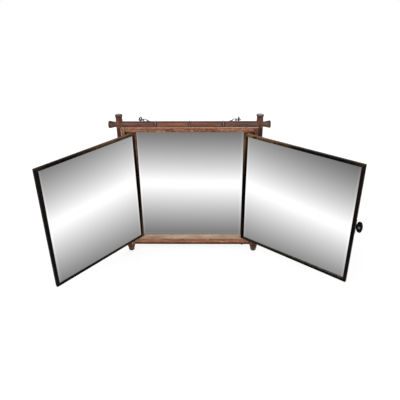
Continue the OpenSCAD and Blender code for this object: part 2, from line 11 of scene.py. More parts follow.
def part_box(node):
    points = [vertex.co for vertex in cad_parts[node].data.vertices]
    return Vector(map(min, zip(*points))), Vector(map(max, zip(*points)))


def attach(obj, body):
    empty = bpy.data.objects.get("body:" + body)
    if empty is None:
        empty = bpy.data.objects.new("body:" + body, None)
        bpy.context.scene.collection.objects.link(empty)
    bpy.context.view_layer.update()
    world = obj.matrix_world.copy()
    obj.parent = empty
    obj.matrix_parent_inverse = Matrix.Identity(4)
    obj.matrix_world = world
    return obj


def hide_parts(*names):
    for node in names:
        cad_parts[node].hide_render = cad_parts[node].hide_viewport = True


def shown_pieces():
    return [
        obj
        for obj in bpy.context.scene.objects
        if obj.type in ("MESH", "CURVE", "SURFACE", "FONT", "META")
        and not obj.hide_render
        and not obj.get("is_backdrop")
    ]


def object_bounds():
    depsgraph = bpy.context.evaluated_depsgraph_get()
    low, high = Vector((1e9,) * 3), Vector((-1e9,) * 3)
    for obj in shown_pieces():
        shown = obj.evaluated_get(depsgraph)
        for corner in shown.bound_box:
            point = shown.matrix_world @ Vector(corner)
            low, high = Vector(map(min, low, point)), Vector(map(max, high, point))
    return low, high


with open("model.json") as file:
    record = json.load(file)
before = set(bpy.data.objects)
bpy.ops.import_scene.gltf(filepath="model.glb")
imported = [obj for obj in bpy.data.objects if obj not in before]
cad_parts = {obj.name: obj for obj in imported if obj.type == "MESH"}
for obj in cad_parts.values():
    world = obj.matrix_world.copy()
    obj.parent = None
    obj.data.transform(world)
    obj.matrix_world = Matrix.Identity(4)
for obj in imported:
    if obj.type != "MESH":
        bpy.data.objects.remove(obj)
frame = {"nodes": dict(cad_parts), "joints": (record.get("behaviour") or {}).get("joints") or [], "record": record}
cad_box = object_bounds()

MM = 0.001
SIDES = {"left": -1, "right": 1}

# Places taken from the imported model, in metres
nodes = frame["nodes"]
joints = {joint["name"]: joint for joint in frame["joints"]}
HINGE = {side: Vector(joints[f"{side}_wing_hinge"]["pos_m"]) for side in SIDES}
case_low, case_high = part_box("case_left")
FRONT_Y = case_low.y
CASE_LOW = case_low.z
CASE_TOP = case_high.z
OUTER_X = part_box("case_right")[1].x
INNER_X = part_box("case_top")[1].x
LEDGE_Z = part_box("case_bottom")[1].z
post_low, post_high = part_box("post_right")
POST_FOOT = post_low.z
POST_TOP = post_high.z
POST_X = (post_low.x + post_high.x) / 2
CANE_Y = (post_low.y + post_high.y) / 2
RAIL_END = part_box("rail")[1].x
RAIL_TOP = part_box("rail")[1].z

# Camera, fitted to the photograph's 400 x 400 frame
PHOTO = 400
FOCAL_PX = 426.969
CENTRE_PX = (203.402, 170.709)
SENSOR = 36
EYE = Vector((43.431, -880.664, 466.965)) * MM
PITCH = math.radians(26.2)
YAW = math.radians(-0.956)
ROLL = math.radians(-0.46)

# Turned pieces: radii, in millimetres
POST_R = 7.25
CAP_R = 8.0
NECK_R = 6.9
BELLY_R = 8.8
TIP_R = 7.0
GROOVE_R = 6.2
RAIL_R = 6.8
STUB_R = 5.9

# Turned pieces: lengths and heights along the axis, in millimetres
TIP_ROUND = 3.0
TIP_H = 4.0
BELLY_LOW = 12.75
BELLY_HIGH = 14.25
GROOVE_UNDER_CASE = (2.2, 1.8, 1.0)
NECK_START = 1.3
NECK_UNDER_CAP = (4.0, 3.4)
CAP_H = 3.0
KNUCKLE_STEP = 72.4
KNUCKLE_H = 0.6
# Half of a knuckle: distance from its middle, and height above the rail
KNUCKLE = ((1.4, KNUCKLE_H), (2.0, -0.1), (2.7, -0.55), (3.4, -0.1), (5.0, 0.0))
# A cap's rim: distance back from its end, and loss of radius. Its hollow face: distance back, and radius
CAP_RIM = ((2.7, 0.0), (1.2, 0.0), (0.5, 0.3), (0.1, 1.2), (0.0, 2.4))
CAP_FACE = ((0.1, 3.0), (0.15, 0.8))

# Colours that prevail along each turning: a place in millimetres, and the colour there
RAIL_TINTS = ((-135, (108, 80, 70)), (-118, (128, 70, 66)), (-73, (126, 74, 64)), (-66, (146, 92, 66)),
              (30, (136, 82, 62)), (71, (112, 78, 62)), (118, (98, 74, 66)), (135, (122, 92, 78)))
POST_TINTS = {
    "left": ((-170, (60, 38, 26)), (-120, (60, 32, 22)), (110, (62, 33, 22)), (138, (100, 50, 34)),
             (155, (126, 80, 62)), (168, (92, 56, 40))),
    "right": ((-170, (56, 36, 28)), (-120, (46, 26, 19)), (120, (44, 25, 19)), (142, (98, 58, 54)),
              (155, (112, 76, 62)), (168, (84, 56, 44)))}
# Colour of the painted shade on each post below its crossing with the rail
SHADE_BELOW_CROSSING = {"left": (70, 36, 24), "right": (46, 25, 18)}

# Wings: how far from the hinge the bronze is rubbed and how far the free edge is, in millimetres, the colour
# where it is rubbed, and the colour of the free edge's upper half
RUBBED_REACH = {"left": 175, "right": 125}
EDGE_REACH = {"left": 238, "right": 258.5}
RUBBED_GOLD = {"left": (74, 58, 38), "right": (108, 80, 44)}
EDGE_TONE = {"left": (25, 21, 18), "right": (28, 16, 13)}
# Colours up each hinge tube, from its foot at 0 to its top at 1, and of both tubes' lips. Lengths are in
# millimetres
TUBE_LOW = -135
TUBE_LENGTH = 270
TUBE_TONES = {
    "left": ((0.0, (124, 88, 66)), (0.14, (106, 74, 56)), (0.26, (52, 34, 27)), (0.45, (26, 17, 15)),
             (0.66, (48, 31, 25)), (0.82, (132, 92, 72)), (1.0, (148, 108, 86))),
    "right": ((0.0, (40, 27, 21)), (0.22, (20, 14, 12)), (0.36, (4, 3, 3)), (0.58, (5, 4, 4)),
              (0.74, (70, 49, 31)), (0.90, (132, 98, 60)), (1.0, (112, 80, 54)))}
LIP_TONES = ((0.0, (10, 8, 7)), (0.6, (5, 4, 4)), (0.78, (14, 10, 7)), (1.0, (44, 32, 18)))

# How the light lies on each glass, read off the photograph and painted into the glass's colour, with lengths in
# millimetres. A white strip of painted reflection crosses it: middle is its height at the hinge or centre, tilt
# its slope and flat its half width. Above and below it the brightness falls by these levels of 255 for each
# millimetre, and faster by spread for each metre across. borders are two brighter upright lines of painted
# highlight.
# fringes are dark sides of painted reflection: which side, and where each starts, REFLECTED_SIDE_SPAN below
# and above the middle. lip is the bottom lip painted into the glass as its reflection: its height at the hinge,
# and its rise for each metre. PAINTED_FOOT_HIGHLIGHT is where the fixed glass lightens with a painted highlight,
# above its edge.
PAINTED_GLASS_LIGHT = {
    "centre": dict(middle=4.5, tilt=-0.023, above=1.143, below=1.032, flat=8.7, spread=0.0,
                   borders=(-116.5, 115.0), fringes=((-1, 118.4, 117.4), (1, 118.0, 117.8)), lip=None),
    "left": dict(middle=18.0, tilt=-0.045, above=0.958, below=0.838, flat=12.2, spread=0.78,
                 borders=(9.5, 229.0), fringes=((-1, -7.1, -8.6), (1, 231.8, 230.4)), lip=(0.3, 4.0)),
    "right": dict(middle=11.6, tilt=-0.076, above=0.998, below=0.899, flat=11.2, spread=0.59,
                  borders=(9.0, 250.0), fringes=((-1, -6.0, -7.9), (1, 252.0, 251.7)), lip=(0.8, 14.5))}
PAINTED_FOOT_HIGHLIGHT = 7
REFLECTED_SIDE_SPAN = 130

# Boards: their gloss, and how uneven they are. The greatest push and the step of the mesh in millimetres,
# waves for each metre, the share of a push that may go outwards, and how far apart in the noise the pushes
# in x, y and z are read
BOARD_GLOSS = 0.14
WAVE = 0.25
WAVE_STEP = 7
WAVE_SCALE = 28
OUTWARD = 0.3
WAVE_APART = ((0, 0, 0), (17, 5, 11), (7, 19, 3))

# Mesh work: what counts as sharp, flat, one point or on a plane, and how fine and how uneven a turning is.
# Lengths are in millimetres
SHARP = math.radians(50)
FLAT = math.radians(0.5)
SAME_POINT = 0.002
ON_PLANE = 1e-4
TURNED_SIDES = 56
TURNED_STEP = 3.0
WOBBLE = 0.12

# Floor: half its width in metres, and its gap below the object in millimetres
FLOOR_HALF = 6.0
FLOOR_GAP = 0.3


def make_camera():
    data = bpy.data.cameras.new("camera")
    data.sensor_width = SENSOR
    data.lens = FOCAL_PX / PHOTO * data.sensor_width
    data.shift_x = (PHOTO / 2 - CENTRE_PX[0]) / PHOTO
    data.shift_y = (CENTRE_PX[1] - PHOTO / 2) / PHOTO
    forward = Vector((math.sin(YAW) * math.cos(PITCH), math.cos(YAW) * math.cos(PITCH), -math.sin(PITCH)))
    level = Vector((math.cos(YAW), -math.sin(YAW), 0))
    above = level.cross(forward)
    right = math.cos(ROLL) * level + math.sin(ROLL) * above
    up = -math.sin(ROLL) * level + math.cos(ROLL) * above
    camera = bpy.data.objects.new("camera", data)
    turn = Matrix((right, up, -forward)).transposed()
    camera.matrix_world = Matrix.Translation(EYE) @ turn.to_4x4()
    bpy.context.scene.collection.objects.link(camera)
    bpy.context.scene.camera = camera


# Materials

def tone(red, green, blue):
    """A colour as the eye reads it, from 0 to 255, in the renderer's linear values."""
    linear = []
    for value in (red, green, blue):
        c = value / 255
        linear.append(c / 12.92 if c <= 0.04045 else ((c + 0.055) / 1.055) ** 2.4)
    return (*linear, 1.0)


def grey(value):
    return (value, value, value, 1.0)


class NodeTree:
    """A shader's node tree, and short names for its nodes. A value is a number, a colour or a socket."""

    def __init__(self, tree):
        self.tree = tree

    def feed(self, socket, value):
        if isinstance(value, bpy.types.NodeSocket):
            self.tree.links.new(value, socket)
        else:
            socket.default_value = value

    def calc(self, operation, a, b=0.0):
        node = self.tree.nodes.new("ShaderNodeMath")
        node.operation = operation
        self.feed(node.inputs[0], a)
        self.feed(node.inputs[1], b)
        return node.outputs[0]

    def rays(self):
        """Whether the camera looks here, and whether a mirror does."""
        node = self.tree.nodes.new("ShaderNodeLightPath")
        return node.outputs["Is Camera Ray"], node.outputs["Is Glossy Ray"]


class Finish(NodeTree):
    """One material, built node by node. Its coordinates are the model's own at rest, in metres."""

    def __init__(self, name, **fixed):
        self.material = bpy.data.materials.new(name)
        self.material.use_nodes = True
        super().__init__(self.material.node_tree)
        self.shader = self.tree.nodes["Principled BSDF"]
        for socket, value in fixed.items():
            self.shader.inputs[socket.replace("_", " ")].default_value = value
        self.place = self.tree.nodes.new("ShaderNodeTexCoord").outputs["Object"]
        split = self.tree.nodes.new("ShaderNodeSeparateXYZ")
        self.feed(split.inputs[0], self.place)
        self.x, self.y, self.z = split.outputs
        self.coordinate = {"x": self.x, "y": self.y, "z": self.z}

    def set(self, socket, value):
        self.feed(self.shader.inputs[socket], value)

    def cover(self, factor, colour):
        """Mixes a colour over the finish's own, by this factor."""
        own = self.shader.inputs["Base Color"].links[0].from_socket
        self.set("Base Color", self.mix(factor, own, colour))

    def fade(self, value, start, end, low=0.0, high=1.0):
        """A smooth change from low to high as the value goes from start to end."""
        node = self.tree.nodes.new("ShaderNodeMapRange")
        node.interpolation_type = "SMOOTHSTEP"
        self.feed(node.inputs["Value"], value)
        if start > end:
            start, end, low, high = end, start, high, low
        limits = {"From Min": start, "From Max": end, "To Min": low, "To Max": high}
        for socket, number in limits.items():
            self.feed(node.inputs[socket], number)
        return node.outputs["Result"]

    def near(self, value, centre, reach):
        """One at the centre, fading to nought at the reach on each side."""
        return self.fade(self.calc("ABSOLUTE", self.calc("SUBTRACT", value, centre)), reach, reach * 0.4)

    def away(self, a, a0, b, b0):
        """Distance from the line on which two coordinates have these values."""
        da = self.calc("SUBTRACT", a, a0)
        db = self.calc("SUBTRACT", b, b0)
        squares = self.calc("ADD", self.calc("MULTIPLY", da, da), self.calc("MULTIPLY", db, db))
        return self.calc("SQRT", squares)

    def from_origin(self):
        node = self.tree.nodes.new("ShaderNodeVectorMath")
        node.operation = "LENGTH"
        self.feed(node.inputs[0], self.place)
        return node.outputs["Value"]

    def noise(self, scale, stretch=(1, 1, 1), shift=(0, 0, 0), detail=3.0, roughness=0.55, distortion=0.0):
        mapping = self.tree.nodes.new("ShaderNodeMapping")
        self.feed(mapping.inputs["Vector"], self.place)
        mapping.inputs["Scale"].default_value = stretch
        mapping.inputs["Location"].default_value = shift
        node = self.tree.nodes.new("ShaderNodeTexNoise")
        self.feed(node.inputs["Vector"], mapping.outputs[0])
        settings = {"Scale": scale, "Detail": detail, "Roughness": roughness, "Distortion": distortion}
        for socket, number in settings.items():
            node.inputs[socket].default_value = number
        return node.outputs["Fac"]

    def mix(self, factor, a, b, blend="MIX"):
        node = self.tree.nodes.new("ShaderNodeMix")
        node.data_type = "RGBA"
        node.blend_type = blend
        self.feed(node.inputs[0], factor)
        self.feed(node.inputs[6], a)
        self.feed(node.inputs[7], b)
        return node.outputs[2]

    def ramp(self, factor, *stops):
        node = self.tree.nodes.new("ShaderNodeValToRGB")
        elements = node.color_ramp.elements
        while len(elements) < len(stops):
            elements.new(0.5)
        for element, (position, colour) in zip(elements, stops):
            element.position = position
            element.color = colour
        self.feed(node.inputs[0], factor)
        return node.outputs[0]

    def tone_ramp(self, factor, tones):
        return self.ramp(factor, *[(position, tone(*colour)) for position, colour in tones])

    def bump(self, height, distance):
        """Relief of this depth in metres."""
        node = self.tree.nodes.new("ShaderNodeBump")
        node.inputs["Distance"].default_value = distance
        self.feed(node.inputs["Height"], height)
        self.set("Normal", node.outputs[0])

    def grooves(self, value, places, width, depth=0.85):
        """Darker lines in the turned grooves at these places."""
        for place in places:
            self.cover(self.calc("MULTIPLY", self.near(value, place, width), depth), tone(30, 16, 15))

    def worn_end(self, value, start, end, dark=tone(74, 58, 50), light=tone(122, 102, 90)):
        """Grey-tan end grain where the value runs from start to end."""
        rub = self.noise(300, shift=(2, 5, 1))
        self.cover(self.fade(value, start, end, 0.0, 0.9), self.mix(rub, dark, light))


def along(axis, fast, slow):
    """Noise stretch for a grain that runs along an axis."""
    return tuple(slow if a == axis else fast for a in "xyz")


def bared_ledge(f, colour):
    """The bottom board's top, rubbed bare and lighter at its rear, over the lower edge of its front, darkened with
    painted shade.
    """
    streaks = f.noise(110, along("x", 1.6, 0.16), (3, 1, 2), detail=4)
    bare = f.ramp(streaks, (0.30, tone(146, 116, 100)), (0.44, tone(184, 154, 134)),
                  (0.57, tone(206, 178, 156)), (0.72, tone(218, 194, 166)))
    top = f.fade(f.z, LEDGE_Z - 1.2 * MM, LEDGE_Z - 0.3 * MM)
    colour = f.mix(top, colour, bare)
    rear = f.calc("MULTIPLY", f.fade(f.y, -13 * MM, -9.5 * MM, 0.0, 0.75),
                  f.fade(f.x, -70 * MM, 50 * MM, 0.35, 1.0))
    colour = f.mix(f.calc("MULTIPLY", rear, top), colour, tone(208, 176, 122))
    # Painted shade on the rounded lower edge of the front, which turns downwards.
    low_edge_shade = f.fade(f.z, CASE_LOW + 8.0 * MM, CASE_LOW + 5.6 * MM, 0.0, 0.97)
    return f.mix(low_edge_shade, colour, tone(30, 17, 12))


def case_wood(name, axis, seed, arrises, tint=None, hold=0.0, ledge=False):
    """Worn stained boards. Each arris is a line on which two coordinates have these values, where the stain is
    rubbed off and a highlight is painted, and how wide; beside it lies a darker strip of painted shade. tint is
    the colour that prevails, by hold."""
    f = Finish(name, Specular_IOR_Level=BOARD_GLOSS)
    shift = (seed, seed * 2.3, seed * 1.7)
    patches = f.noise(95, along(axis, 1.5, 0.6), shift, detail=6, roughness=0.66)
    colour = f.ramp(patches, (0.33, tone(82, 46, 34)), (0.43, tone(128, 78, 58)), (0.51, tone(148, 98, 74)),
                    (0.59, tone(172, 126, 90)), (0.68, tone(204, 168, 126)))
    pink = f.fade(f.noise(70, along(axis, 1.4, 0.8), (seed + 5, 2, 1)), 0.50, 0.60, 0.0, 0.5)
    colour = f.mix(pink, colour, tone(146, 80, 70))
    bright = f.fade(f.noise(190, along(axis, 1.3, 0.7), (seed, 9, 4), detail=2), 0.60, 0.70, 0.0, 0.6)
    colour = f.mix(bright, colour, tone(200, 162, 122))
    if tint:
        colour = f.mix(hold, colour, tint)
    grain = f.noise(260, along(axis, 1.0, 0.07), shift, detail=5, roughness=0.65)
    colour = f.mix(f.fade(grain, 0.60, 0.34, 0.0, 0.5), colour, tone(92, 54, 38))
    specks = f.noise(330, along(axis, 1.0, 0.45), shift, detail=2)
    colour = f.mix(f.fade(specks, 0.62, 0.70, 0.0, 0.85), colour, tone(50, 28, 20))
    if ledge:
        colour = bared_ledge(f, colour)
    rough_edge = f.noise(120, along(axis, 1.0, 0.45), shift, detail=4)
    # A pale line of wear and painted highlight on each arris, with painted shade in a darker strip beside it.
    for line, width in arrises:
        (first, at_first), (second, at_second) = line.items()
        gone = f.away(f.coordinate[first], at_first, f.coordinate[second], at_second)
        ragged = f.calc("DIVIDE", gone, f.fade(rough_edge, 0.35, 0.65, 0.6, 1.2))
        worn_highlight = f.fade(ragged, width * MM, width * 0.6 * MM, 0.0, 0.92)
        shade = f.fade(ragged, width * 2.8 * MM, width * 1.2 * MM, 0.0, 0.75)
        pale = f.mix(f.noise(180, along(axis, 1, 0.3), shift), tone(178, 142, 120), tone(228, 202, 184))
        colour = f.mix(shade, colour, tone(84, 50, 36))
        colour = f.mix(worn_highlight, colour, pale)
    f.set("Base Color", colour)
    f.set("Roughness", f.fade(grain, 0.3, 0.7, 0.42, 0.62))
    f.bump(grain, 0.25 * MM)
    return f


def cane_wood(name, axis, seed, tints):
    """Turned and stained wood, red-brown and streaked. tints are the colours that prevail along its axis."""
    f = Finish(name, Specular_IOR_Level=0.16)
    shift = (seed, seed * 1.9, seed * 0.7)
    patches = f.noise(60, along(axis, 1.5, 0.42), shift, detail=5, roughness=0.64)
    colour = f.ramp(patches, (0.32, tone(54, 31, 25)), (0.44, tone(86, 54, 43)), (0.54, tone(110, 72, 56)),
                    (0.66, tone(146, 106, 82)))
    first, last = tints[0][0], tints[-1][0]
    length = last - first
    share = f.calc("DIVIDE", f.calc("SUBTRACT", f.coordinate[axis], first * MM), length * MM)
    prevailing = f.tone_ramp(share, [((at - first) / length, shade) for at, shade in tints])
    colour = f.mix(0.66, colour, prevailing)
    streaks = f.noise(230, along(axis, 1.0, 0.06), shift, detail=5, roughness=0.65)
    colour = f.mix(f.fade(streaks, 0.54, 0.32, 0.0, 0.5), colour, tone(50, 28, 22))
    colour = f.mix(f.fade(streaks, 0.54, 0.68, 0.0, 0.5), colour, tone(170, 122, 100))
    stain = f.noise(150, along(axis, 1.2, 0.5), (seed, 3, 7))
    colour = f.mix(f.fade(stain, 0.58, 0.68, 0.0, 0.55), colour, tone(120, 66, 62))
    colour = f.mix(f.fade(stain, 0.40, 0.30, 0.0, 0.5), colour, tone(44, 26, 20))
    f.set("Base Color", colour)
    f.set("Roughness", f.fade(streaks, 0.3, 0.7, 0.34, 0.54))
    f.bump(streaks, 0.22 * MM)
    return f


class Bronze(Finish):
    """Bronzed sheet: almost black, rubbed to brown and olive within reach, in millimetres, of its hinge."""

    def __init__(self, name, hinge, seed, reach, gold):
        super().__init__(name, Specular_IOR_Level=0.03)
        self.gone = self.away(self.x, hinge.x, self.y, hinge.y)
        blotch = self.noise(60, shift=(seed, 2, seed), detail=4)
        base = self.ramp(self.noise(120, shift=(1, seed, 3), detail=5),
                         (0.34, tone(2, 2, 2)), (0.5, tone(7, 5, 5)), (0.66, tone(24, 17, 14)))
        bronze = self.ramp(self.noise(95, shift=(seed, 4, 2), detail=4, distortion=0.4),
                           (0.34, tone(50, 32, 21)), (0.46, gold), (0.56, tone(88, 70, 44)),
                           (0.68, tone(104, 68, 46)))
        ragged = self.calc("MULTIPLY", self.calc("SUBTRACT", blotch, 0.5), -0.09)
        rubbed = self.fade(self.calc("ADD", self.gone, ragged), reach * MM, reach * 0.3 * MM)
        self.set("Base Color", self.mix(rubbed, base, bronze))
        self.set("Roughness", self.fade(blotch, 0.3, 0.7, 0.34, 0.55))
        self.bump(self.noise(500), 0.08 * MM)


def edging_bronze(side, place):
    """The bronzed sheet of one strip, with lines painted on it; on the top strip, its upper line is wear and
    painted highlight.
    """
    seed = 2.0 if side == "left" else 5.5
    f = Bronze(f"{side}_{place}_bronze", HINGE[side], seed, RUBBED_REACH[side], tone(*RUBBED_GOLD[side]))
    low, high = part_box(f"{side}_outer_edging")
    edge = EDGE_REACH[side] * MM
    if place == "top":
        # The top strip's upper line: wear and painted highlight, paler near the hinge.
        worn_highlight = f.mix(f.fade(f.gone, 30 * MM, 150 * MM), tone(122, 88, 74), tone(34, 29, 27))
        f.cover(f.fade(f.z, high.z - 1.0 * MM, high.z - 0.3 * MM, 0.0, 0.75), worn_highlight)
        f.cover(f.fade(f.z, high.z - 4.0 * MM, high.z - 5.4 * MM, 0.0, 0.6), tone(20, 14, 10))
        f.cover(f.fade(f.gone, edge * 0.88, edge * 0.99, 0.0, 0.4), tone(70, 50, 36))
        if side == "right":
            patch_and_hole(f, high.z)
    if place == "bottom":
        f.cover(0.85, tone(12, 10, 9))
    if place == "outer":
        f.cover(f.fade(f.z, -20 * MM, 60 * MM, 0.0, 0.55), tone(*EDGE_TONE[side]))
        f.cover(f.fade(f.z, low.z + 40 * MM, low.z, 0.0, 0.5), tone(28, 20, 15))
    return f


def patch_and_hole(f, top):
    """The brassy patch beside the hinge, and the dark rivet hole that follows it."""
    f.cover(f.calc("MULTIPLY", f.near(f.gone, 15 * MM, 9 * MM), 0.6), tone(128, 100, 50))
    hole = f.calc("MULTIPLY", f.near(f.gone, 22.5 * MM, 4 * MM), f.near(f.z, top - 4.2 * MM, 3.6 * MM))
    f.cover(f.calc("MULTIPLY", hole, 0.95), tone(12, 7, 4))


def tube_bronze(side):
    """The hinge tube, rubbed to brown at its top, and the darker lips that hold the glass."""
    f = Bronze(f"{side}_tube_bronze", HINGE[side], 8.0, 400, tone(126, 84, 58))
    f.set("Specular IOR Level", 0.0)
    length = f.calc("DIVIDE", f.calc("SUBTRACT", f.z, TUBE_LOW * MM), TUBE_LENGTH * MM)
    shade = f.tone_ramp(length, TUBE_TONES[side])
    mottle = f.noise(160, (1, 1, 0.4), (3, 5, 1), detail=4)
    mottle = f.ramp(mottle, (0.32, tone(176, 172, 168)), (0.62, tone(255, 255, 255)))
    f.cover(0.98, f.mix(1.0, shade, mottle, "MULTIPLY"))
    f.cover(f.fade(f.gone, 3.4 * MM, 4.0 * MM, 0.0, 0.95), f.tone_ramp(length, LIP_TONES))
    return f


def plain_metal(name, dark, light, seed, metallic):
    f = Finish(name, Metallic=metallic, Specular_IOR_Level=0.04)
    spots = f.noise(300, shift=(seed, 1, seed), detail=4)
    f.set("Base Color", f.ramp(spots, (0.32, dark), (0.68, light)))
    f.set("Roughness", f.fade(spots, 0.3, 0.7, 0.36, 0.62))
    f.bump(f.noise(900, detail=2), 0.06 * MM)
    return f


class SilverWithPaintedLight(Finish):
    """Silvered glass as in the photograph, its light and reflections painted into its colour. The rows of
    PAINTED_GLASS_LIGHT say what the values are.
    """

    def __init__(self, name, hinge, foot, middle, tilt, above, below, flat, spread, borders, fringes, lip):
        super().__init__(name, Metallic=1.0)
        across = self.away(self.x, hinge.x, self.y, hinge.y) if hinge else self.x
        # A white strip of painted reflection across the glass; the brightness falls above and below it.
        reflection_band = self.calc("ADD", self.calc("MULTIPLY", across, tilt), middle * MM)
        height = self.calc("SUBTRACT", self.z, reflection_band)
        height = self.calc("MULTIPLY", height, self.calc("ADD", self.calc("MULTIPLY", across, spread), 1.0))
        over = self.calc("MAXIMUM", self.calc("SUBTRACT", height, flat * MM), 0.0)
        depth = self.calc("MULTIPLY", height, -1.0)
        under = self.calc("MAXIMUM", self.calc("SUBTRACT", depth, flat * MM), 0.0)
        loss = self.calc("ADD", self.calc("MULTIPLY", over, above / 255 / MM),
                         self.calc("MULTIPLY", under, below / 255 / MM))
        level = self.calc("SUBTRACT", 1.0, loss)
        # Two brighter upright lines of painted highlight.
        for at in borders:
            highlight_line = self.near(across, at * MM, 2.6 * MM)
            level = self.calc("ADD", level, self.calc("MULTIPLY", highlight_line, 0.05))
        # A lighter line of painted highlight just above the glass's foot.
        level = self.calc("ADD", level, self.calc("MULTIPLY", self.near(self.z, foot, 2.2 * MM), 0.03))
        level = self.calc("MINIMUM", level, 1.0)
        # The eye's levels in the renderer's linear values, as in tone
        colour = self.calc("POWER", self.calc("DIVIDE", self.calc("ADD", level, 0.055), 1.055), 2.4)
        # The bottom lip, painted into the glass as its reflection.
        if lip:
            colour = self.with_lip_reflection(colour, across, foot, *lip)
        # Dark sides of painted reflection; on the fixed glass they are brown, lighter higher up, as the reflected
        # side boards and wing backs.
        dark = tone(14, 11, 10)
        if hinge is None:
            dark = self.mix(self.fade(self.z, 60 * MM, 125 * MM), tone(34, 22, 19), tone(76, 43, 35))
        for sign, low, high in fringes:
            limit = self.fade(self.z, -REFLECTED_SIDE_SPAN * MM, REFLECTED_SIDE_SPAN * MM, low * MM, high * MM)
            beyond = self.calc("SUBTRACT", self.calc("MULTIPLY", across, sign), limit)
            colour = self.mix(self.fade(beyond, -0.3 * MM, 0.3 * MM), colour, dark)
        self.set("Base Color", colour)
        haze = self.noise(7, shift=(2, 1, 3), detail=4)
        self.set("Roughness", self.fade(haze, 0.45, 0.75, 0.03, 0.07))

    def with_lip_reflection(self, colour, across, foot, low, rise):
        top = self.calc("ADD", self.calc("MULTIPLY", across, rise * MM), foot + low * MM)
        speck = self.noise(420, (1, 1, 0.5), (4, 2, 6), detail=4)
        metal = self.ramp(speck, (0.38, tone(10, 8, 6)), (0.50, tone(36, 30, 23)), (0.64, tone(96, 86, 68)))
        edge = self.calc("SUBTRACT", self.z, top)
        return self.mix(self.fade(edge, 0.4 * MM, -0.3 * MM, 0.0, 0.92), colour, metal)


def paperboard(name, seed):
    f = Finish(name, Specular_IOR_Level=0.2)
    fibre = f.noise(340, shift=(seed, 1, 2), detail=5)
    stain = f.noise(14, shift=(seed, 3, 2), detail=4)
    colour = f.ramp(fibre, (0.3, tone(84, 66, 50)), (0.7, tone(116, 96, 74)))
    f.set("Base Color", f.mix(f.fade(stain, 0.45, 0.7, 0.0, 0.6), colour, tone(58, 44, 34)))
    f.set("Roughness", f.fade(fibre, 0.3, 0.7, 0.8, 0.95))
    f.bump(fibre, 0.15 * MM)
    return f


def raw_pine(name, seed):
    """Raw aged softwood of the back panel, its grain upright."""
    f = Finish(name, Specular_IOR_Level=0.25)
    rings = f.noise(38, along("z", 1.0, 0.07), (seed, 1, 2), distortion=0.6)
    fine = f.noise(420, along("z", 1.0, 0.04), (seed, 2, 1), detail=4)
    wave = f.calc("SINE", f.calc("MULTIPLY", rings, 60))
    colour = f.mix(f.fade(wave, -0.6, 1.0, 0.0, 0.7), tone(176, 140, 98), tone(136, 96, 60))
    colour = f.mix(f.fade(fine, 0.4, 0.7, 0.0, 0.4), colour, tone(104, 74, 50))
    stain = f.noise(9, shift=(seed, 7, 2), detail=4)
    colour = f.mix(f.fade(stain, 0.5, 0.72, 0.0, 0.55), colour, tone(92, 70, 52))
    f.set("Base Color", colour)
    f.set("Roughness", f.fade(fine, 0.3, 0.7, 0.62, 0.85))
    f.bump(fine, 0.2 * MM)
    return f


# Pieces

def dress(piece, finish):
    piece.data.materials.clear()
    piece.data.materials.append(finish.material)


def body_of(node):
    for body, members in frame["record"]["behaviour"]["bodies"].items():
        if node in members:
            return body
    return "root"


def stand_for(piece, node):
    """The piece rides on the body of this node of the frame, and the node is hidden."""
    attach(piece, body_of(node))
    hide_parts(node)


def show(name, bm, crease=35):
    """Makes the mesh a piece in the scene, shaded smooth up to the crease, in degrees."""
    mesh = bpy.data.meshes.new(name)
    bm.normal_update()
    bm.to_mesh(mesh)
    bm.free()
    mesh.shade_smooth()
    mesh.set_sharp_from_angle(angle=math.radians(crease))
    piece = bpy.data.objects.new(name, mesh)
    bpy.context.scene.collection.objects.link(piece)
    return piece


def roughen(bm, node, axis, seed):
    """Makes a board's long faces a little uneven, more inwards than outwards, so that it keeps its size."""
    low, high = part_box(node)
    way = Vector([1.0 if a == axis else 0.0 for a in "xyz"])
    first, last = low @ way, high @ way
    for i in range(1, int((last - first) / (WAVE_STEP * MM))):
        geometry = bm.verts[:] + bm.edges[:] + bm.faces[:]
        place = way * (first + i * WAVE_STEP * MM)
        bmesh.ops.bisect_plane(bm, geom=geometry, dist=ON_PLANE * MM, plane_co=place, plane_no=way)
    middle = (low + high) / 2
    for v in bm.verts:
        spot = v.co * WAVE_SCALE + Vector((seed, seed, seed))
        push = Vector([noise.noise(spot + Vector(apart)) for apart in WAVE_APART]) * WAVE * MM
        v.co += Vector([p if p * (m - c) > 0 else OUTWARD * p for p, m, c in zip(push, middle, v.co)])


def worked(node, name, arris, finish, uneven=None, shortest=6.0, crease=35):
    """A finer copy of a node, its arrises eased by arris millimetres where they are longer than shortest.
    uneven gives the axis and seed of a board whose faces aren't quite flat."""
    bm = bmesh.new()
    bm.from_mesh(nodes[node].data)
    bmesh.ops.remove_doubles(bm, verts=bm.verts, dist=SAME_POINT * MM)
    bmesh.ops.dissolve_limit(bm, angle_limit=FLAT, verts=bm.verts, edges=bm.edges)
    sharp = [e for e in bm.edges if e.is_manifold and e.is_convex and e.calc_face_angle(0) > SHARP
             and e.calc_length() > shortest * MM]
    bmesh.ops.bevel(bm, geom=sharp, offset=arris * MM, segments=3, profile=0.5, affect="EDGES",
                    clamp_overlap=True)
    if uneven:
        roughen(bm, node, *uneven)
    piece = show(name, bm, crease)
    dress(piece, finish)
    stand_for(piece, node)


def curve(start, end, steps=8):
    """Points of a smooth change between two (height, radius) pairs."""
    points = []
    for i in range(steps + 1):
        share = i / steps
        eased = (1 - math.cos(math.pi * share)) / 2
        points.append((start[0] + (end[0] - start[0]) * i / steps, start[1] + (end[1] - start[1]) * eased))
    return points


def cut_finer(outline):
    """The same outline with points no further apart than TURNED_STEP."""
    points = [outline[0]]
    for before, after in zip(outline, outline[1:]):
        cuts = max(1, math.ceil(math.dist(before, after) / TURNED_STEP))
        for i in range(1, cuts + 1):
            share = i / cuts
            points.append(tuple(a + (b - a) * share for a, b in zip(before, after)))
    return points


